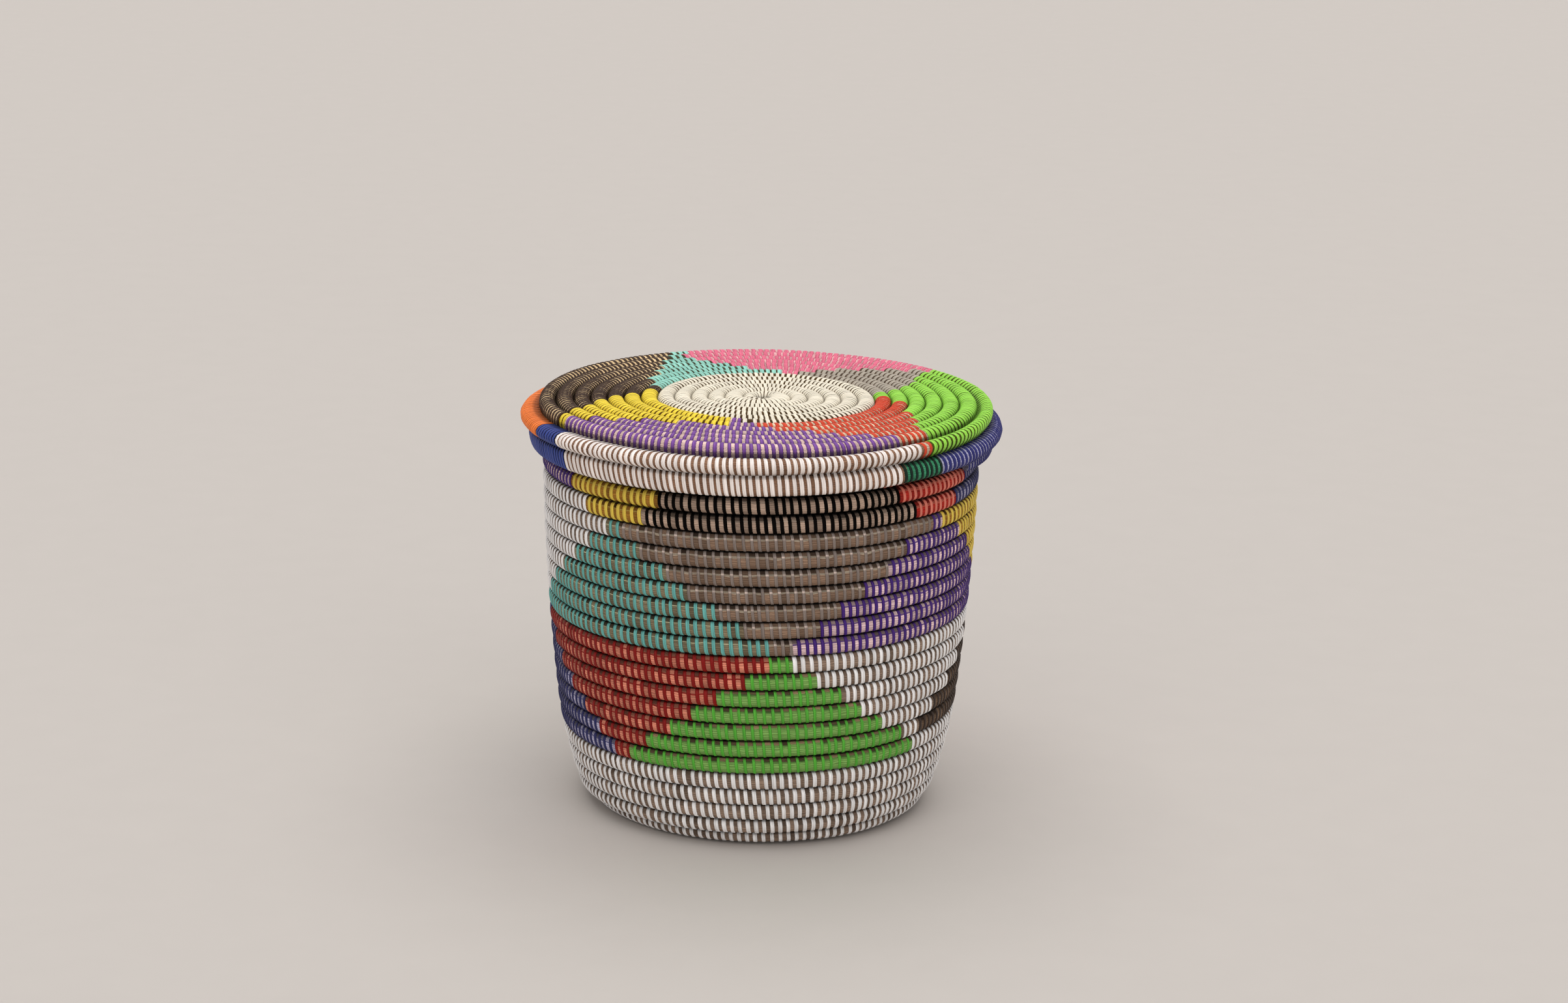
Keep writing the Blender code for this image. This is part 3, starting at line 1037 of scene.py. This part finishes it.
@dataclass
class Coil:
    """A body of the object: a path, its lengths of coil, and the making of their pieces.

    Attributes:
        body: The body that the pieces ride on.
        path: The coil's centre line.
        zones: Its lengths.
        stitch: The stitch's shape.
        grass: Finish of its bundle.
        materials: Materials that are made already, by name.
        sides: Sides of the bundle's section.
        groove: Depth of the grooves between its stalks.
        longest: Longest step along the bundle, in turns.
        strays: How much the stitches' spacing, width and slant vary, as shares, and their lift.
        slips: Share of the stitches that stand too close to the next, or too far from it.
        slip_spacings: Spacing of those beside the usual one.
        widest: Greatest width of a stitch as a share of its spacing.
        end_room: Least room for the last stitch as a share of its spacing.
        thin_cover: How much more of its width than of its thickness a thin end keeps.
        gap_tones: Least and most brightness of the grass in a gap between two stitches.
    """

    body: str
    path: CoilPath
    zones: tuple[Zone, ...]
    stitch: StitchShape = StitchShape()
    grass: GrassFinish = GrassFinish()
    materials: dict[str, Material] = field(default_factory=dict)
    sides: int = 32
    groove: float = 0.12 * MM
    longest: float = 1 / 72
    strays: Row = (0.1, 0.08, 0.12, 0.06 * MM)
    slips: float = 0.06
    slip_spacings: tuple[float, float] = (0.78, 1.2)
    widest: float = 0.9
    end_room: float = 0.6
    thin_cover: float = 0.2
    gap_tones: tuple[float, float] = (0.6, 1.2)

    def build(self) -> None:
        """Make every length of the coil, and put its pieces on the body."""
        template = self.stitch.template()
        for zone in self.zones:
            sewn = self.plan(zone)
            bundle = self.bundle(zone, sewn)
            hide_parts(zone.node)
            for piece in [bundle] + self.sew(zone, sewn, template):
                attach(piece, self.body)
                log.info("%s: %d faces", piece.name, len(piece.data.polygons))
        bpy.data.meshes.remove(template)

    def plan(self, zone: Zone) -> list[tuple[float, float, float, float, Strip]]:
        """Choose the place, width, slant, lift and strip of each stitch of a length.

        Args:
            zone: The length of coil.

        Returns:
            A row for each stitch.
        """
        chance = random.Random(zone.seed)
        by_spacing, by_width, by_slant, by_lift = self.strays
        rows = []
        place = zone.start
        while True:
            around = TURN * float(self.path.radius_at(place))
            spacing = float(np.interp(place, (zone.start, zone.end), zone.spacings))
            strip = zone.strip(place + 0.5 * spacing / around)
            spacing *= strip.value.spacing * (1 + by_spacing * chance.uniform(-1, 1))
            spacing *= chance.choice(self.slip_spacings) if chance.random() < self.slips else 1
            if place + self.end_room * spacing / around > zone.end:
                return rows
            place += 0.5 * spacing / around
            full = min(1, float(self.path.fullness_at(place)) + self.thin_cover)
            width = zone.spacings[1] * strip.value.spacing * strip.value.cover
            width = min(width, spacing * self.widest) * (1 + by_width * chance.uniform(-1, 1))
            slant = 1 + by_slant * chance.uniform(-1, 1)
            lift = by_lift * chance.uniform(-1, 1)
            rows.append((place, width * full, slant, lift, strip))
            place += 0.5 * spacing / around

    def bundle(self, zone: Zone, sewn: list) -> Object:
        """Make the bundle of grass of a length, from a grid that is rolled up along the path.

        Args:
            zone: The length of coil.
            sewn: Its stitches.

        Returns:
            The piece.
        """
        chance = random.Random(zone.seed + 50)
        turns, gaps = [zone.start], []
        for stop in [row[0] for row in sewn] + [zone.end]:
            begin = turns[-1]
            steps = max(1, math.ceil((stop - begin) / self.longest))
            turns += [begin + (stop - begin) * step / steps for step in range(1, steps + 1)]
            gaps += [(chance.uniform(*self.gap_tones), chance.random())] * steps
        turns = np.array(turns)
        paces = np.diff(turns) * TURN * self.path.radius_at(turns[1:])
        lengths = np.concatenate([[0], np.cumsum(paces)])
        shape = bmesh.new()
        count = len(turns) - 1
        bmesh.ops.create_grid(shape, x_segments=count, y_segments=self.sides, size=0.5)
        grid = np.array([vertex.co for vertex in shape.verts])
        section = np.rint((grid[:, 0] + 0.5) * count).astype(int)
        side = np.rint((grid[:, 1] + 0.5) * self.sides).astype(int)
        across = self.stitch.section(side / self.sides * TURN, -self.groove * (side % 2))
        places = self.path.points(turns[section], *across)
        place_layer = shape.loops.layers.uv.new("bundle")
        layers = [shape.loops.layers.float_color.new(n) for n in ("grass", "carried", "shades")]
        colours = []
        for turn, (tone, gap) in zip((turns[:-1] + turns[1:]) / 2, gaps):
            finish = zone.strip(turn).value
            grass = (*(channel * tone for channel in linear(finish.grass)), 1.0)
            strand = (*linear(finish.carried), finish.carried_share)
            # Painted shade: the seams' brightness, and the least brightness on the side towards the
            # next turn, which differs from gap to gap
            least_upper_shade = finish.gap_above + (1 - finish.gap_above) * gap**2
            colours.append((grass, strand, (finish.seam, least_upper_shade, 0.0, 1.0)))
        for face in shape.faces:
            face.smooth = True
            first = min(section[vertex.index] for vertex in face.verts)
            for loop in face.loops:
                index = loop.vert.index
                loop[place_layer].uv = (lengths[section[index]], side[index] / self.sides)
                for layer, colour in zip(layers, colours[first]):
                    loop[layer] = colour
        for vertex, place in zip(shape.verts, places):
            vertex.co = place
        bmesh.ops.remove_doubles(shape, verts=shape.verts, dist=1e-6)
        ends = [edge for edge in shape.edges if edge.is_boundary]
        bmesh.ops.holes_fill(shape, edges=ends, sides=self.sides)
        bmesh.ops.recalc_face_normals(shape, faces=shape.faces)
        mesh = as_mesh(shape, f"{zone.name}_bundle")
        return self.piece(mesh, f"{self.body} grass", self.grass)

    def sew(self, zone: Zone, sewn: list, template: Mesh) -> list[Object]:
        """Make the stitches of a length, a piece for each colour.

        Args:
            zone: The length of coil.
            sewn: Its stitches.
            template: A straight strip.

        Returns:
            The pieces.
        """
        pieces = []
        for strip in dict.fromkeys(row[4] for row in sewn):
            rows = np.array([row[:4] for row in sewn if row[4] is strip])
            name = f"{zone.name}_{strip.name.lower().removeprefix('lid_')}_stitches"
            shape = bmesh.new()
            for _ in rows:
                shape.from_mesh(template)
            mesh = as_mesh(shape, name)
            places = self.stitch.wind(self.path, template, rows)
            mesh.vertices.foreach_set("co", places.ravel())
            chance = random.Random(zone.seed + len(rows))
            tones = np.repeat([chance.random() for _ in rows], len(template.vertices))
            tone = mesh.attributes.new("tone", "FLOAT", "POINT")
            tone.data.foreach_set("value", tones.astype(np.float32))
            if self.path.hand > 0:
                mesh.flip_normals()
            mesh.update()
            key = strip.name.lower().replace("_", " ") + " strip"
            pieces.append(self.piece(mesh, key, strip.value))
        return pieces

    def piece(self, mesh: Mesh, key: str, finish: StripFinish | GrassFinish) -> Object:
        """Put a mesh in the scene with its material, which is made only once.

        Args:
            mesh: The mesh.
            key: The material's name.
            finish: The material's finish.

        Returns:
            The piece.
        """
        if key not in self.materials:
            self.materials[key] = finish.material(key)
        mesh.materials.append(self.materials[key])
        return add_object(mesh)


def make_basket() -> Coil:
    """Lay out the basket's coil, from the middle of the base to the rim.

    Returns:
        The coil.
    """
    path = WallPath(11.0 * MM, 5.5 * MM, 5.4 * MM, 1, math.pi / 2)
    wall = (4.8 * MM, 4.8 * MM)
    zones = (
        Zone("base", "base_disc", "base_grass", path.first_turn, 0, wall, PLAIN_WHITE, 1),
        Zone("foot", "foot_coil", "foot_strip", 0, 5, wall, PLAIN_WHITE, 2),
        Zone("lower_band", "lower_pattern_coil", "lower_strip", 5, 12, wall, LOWER_BAND, 3),
        Zone("upper_band", "upper_pattern_coil", "upper_strip", 12, 19, wall, UPPER_BAND, 4),
        Zone("rim", "rim_coil", "rim_strip", 19, path.end_turn, wall, RIM_BAND, 5),
    )
    return Coil("basket", path, zones)


def make_lid() -> Coil:
    """Lay out the lid's coil, from its middle to the tapered end of the skirt.

    Returns:
        The coil.
    """
    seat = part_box("lid_centre_coil")[0].z
    path = LidPath(10.5 * MM, 5.25 * MM, 5.3 * MM, -1, -math.pi / 2, seat=seat)
    lengths = (
        ("lid_centre", "lid_centre", path.first_turn, 0, (2.5 * MM, 3.75 * MM), 6),
        ("lid_top", "lid_pattern", 0, 6.9, (3.8 * MM, 4.3 * MM), 7),
        ("lid_skirt", "lid_skirt", 6.9, 8.81, (4.0 * MM, 4.0 * MM), 8),
    )
    zones = tuple(
        Zone(name, f"{part}_coil", f"{part}_strip", start, end, spacings, LID_PATTERN, seed)
        for name, part, start, end, spacings, seed in lengths
    )
    return Coil("lid", path, zones, StitchShape(squareness=2.2), gap_tones=(0.75, 1.15))


# Setting


@dataclass(frozen=True)
class Studio:
    """The floor, the light and the camera.

    Attributes:
        floor_rgb: The floor's colour.
        floor_size: Half the floor's width.
        lens: The camera's lens on a 36 mm sensor, in millimetres.
        eye: The camera's place.
        tilt: Its angle below the horizon, in degrees.
        roll: Its turn about the line of sight, in degrees.
        shift: Its sideways shift.
        sky_colour: The sky's colour.
        sky: Its brightness.
        lamps: The way that each lamp shines, its brightness, and its width in degrees.
    """

    floor_rgb: Colour = (199, 191, 184)
    floor_size: float = 6.0
    lens: float = 75.8
    eye: Triple = (-0.0984, -2.016, 0.7179)
    tilt: float = 14.65
    roll: float = 0.41
    shift: float = 0.115
    sky_colour: Triple = (0.96, 0.98, 1.0)
    sky: float = 0.45
    lamps: tuple[tuple[Triple, float, float], ...] = (
        ((-0.02, -0.15, -1.0), 1.56, 68),
        ((0.0, 1.0, -0.45), 1.25, 90),
    )

    def floor(self) -> None:
        """A plain pale floor with a faint grain."""
        shape = bmesh.new()
        bmesh.ops.create_grid(shape, x_segments=8, y_segments=8, size=self.floor_size)
        mesh = as_mesh(shape, "floor")
        nodes = Nodes(bpy.data.materials.new("pale floor"))
        place = nodes.make("ShaderNodeTexCoord", {}, {}, output="Object")
        finer = nodes.make("ShaderNodeMapping", {}, {"Vector": place, "Scale": (30, 30, 30)})
        shade = 0.98 + 0.04 * nodes.noise(finer, 4.0)
        colour = nodes.scaled(linear(self.floor_rgb), shade)
        nodes.set("Principled BSDF", {"Base Color": colour, "Roughness": 0.75})
        mesh.materials.append(nodes.owner)
        add_object(mesh)

    def light(self) -> None:
        """An even pale sky, a broad lamp overhead and a broader one beside the viewer."""
        nodes = Nodes(bpy.data.worlds.new("pale sky"))
        nodes.set("Background", {"Color": (*self.sky_colour, 1), "Strength": self.sky})
        seen = nodes.make("ShaderNodeBackground", {}, {"Color": (*linear(self.floor_rgb), 1)})
        rays = nodes.make("ShaderNodeLightPath", {}, {}, output="Is Camera Ray")
        glossy = nodes.make("ShaderNodeLightPath", {}, {}, output="Is Glossy Ray")
        lit = Value(nodes, nodes.tree.nodes["Background"].outputs[0])
        mix = nodes.make("ShaderNodeMixShader", {}, {0: rays + glossy, 1: lit, 2: seen})
        nodes.set("World Output", {"Surface": mix})
        bpy.context.scene.world = nodes.owner
        for shines, brightness, width in self.lamps:
            lamp = bpy.data.lights.new("lamp", "SUN")
            lamp.energy, lamp.angle = brightness, math.radians(width)
            turn = Vector(shines).to_track_quat("-Z", "Y")
            add_object(lamp).rotation_euler = turn.to_euler()
        bpy.context.scene.view_settings.view_transform = "Standard"

    def camera(self) -> None:
        """The photograph's viewpoint."""
        lens = bpy.data.cameras.new("camera")
        lens.lens, lens.sensor_width, lens.shift_x = self.lens, 36.0, self.shift
        lens.clip_start, lens.clip_end = 0.05, 50.0
        made = add_object(lens)
        tilt = Matrix.Rotation(math.radians(90 - self.tilt), 4, "X")
        roll = Matrix.Rotation(math.radians(self.roll), 4, "Z")
        made.matrix_world = Matrix.Translation(self.eye) @ tilt @ roll
        bpy.context.scene.camera = made


def main() -> None:
    """Dress the frame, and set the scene."""
    logging.basicConfig(level=logging.INFO, format="%(message)s")
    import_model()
    studio = Studio()
    studio.camera()
    studio.light()
    studio.floor()
    for coil in (make_basket(), make_lid()):
        coil.build()


if __name__ == "__main__":
    main()
